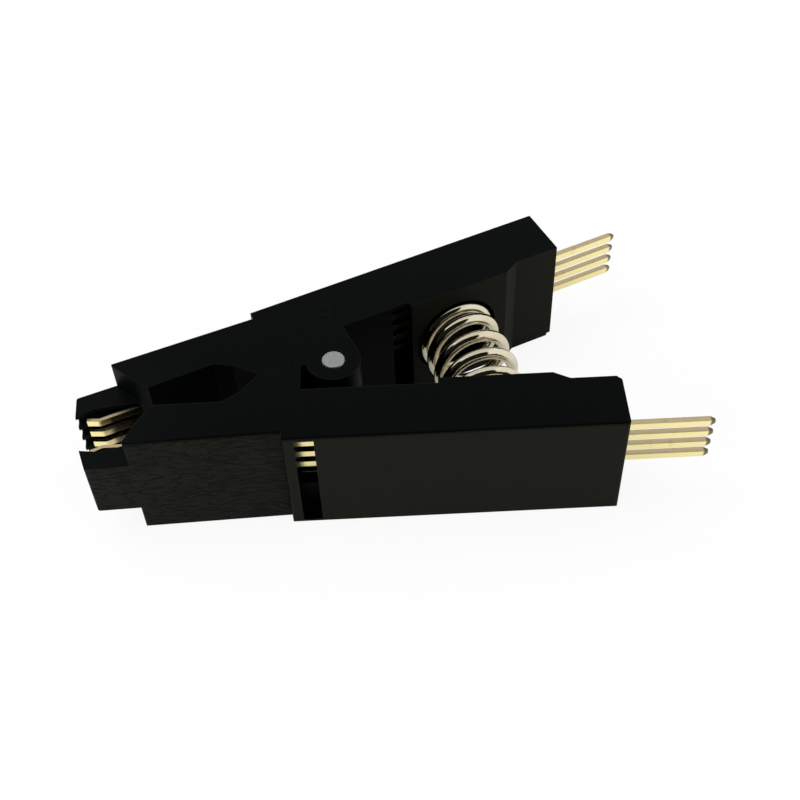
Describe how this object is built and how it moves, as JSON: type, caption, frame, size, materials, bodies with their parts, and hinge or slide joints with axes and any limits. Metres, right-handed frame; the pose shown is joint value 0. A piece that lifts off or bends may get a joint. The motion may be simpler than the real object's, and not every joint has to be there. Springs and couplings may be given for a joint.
{
  "type": "ic test clip",
  "caption": "Spring-loaded clip for testing a small-outline IC in circuit: two hinged black arms, gold contacts in comb tips at the jaws, straight contact pins at the rear.",
  "frame": {"origin": "the hinge axis where it meets the side face on which the clip lies", "axes": "+Z along the hinge pin, away from the face that the clip lies on; +X from the hinge towards the contact pins, halfway between the two arms; -X towards the jaws"},
  "size_m": [0.0491, 0.025, 0.0106],
  "materials": {
    "arm_plastic": "satin black moulded plastic, finely textured on the jaw",
    "contact_gold": "bright gold plating",
    "pin_steel": "brushed steel",
    "spring_nickel": "bright nickel-plated wire"
  },
  "bodies": {
    "lower_half": {"lower_arm": "arm_plastic", "hinge_pin": "pin_steel", "coil_spring": "spring_nickel", "lower_contact_1": "contact_gold", "lower_contact_2": "contact_gold", "lower_contact_3": "contact_gold", "lower_contact_4": "contact_gold"},
    "upper_half": {"upper_arm": "arm_plastic", "upper_contact_1": "contact_gold", "upper_contact_2": "contact_gold", "upper_contact_3": "contact_gold", "upper_contact_4": "contact_gold"}
  },
  "joints": [
    {"name": "jaw_hinge", "type": "hinge", "parent": "lower_half", "child": "upper_half", "pos_m": [0, 0, 0.0053], "axis": [0, 0, -1], "range_deg": [0, 18], "stiffness_Nm_per_rad": 0.02, "springref_deg": -17.19, "deforming": ["coil_spring"]}
  ]
}
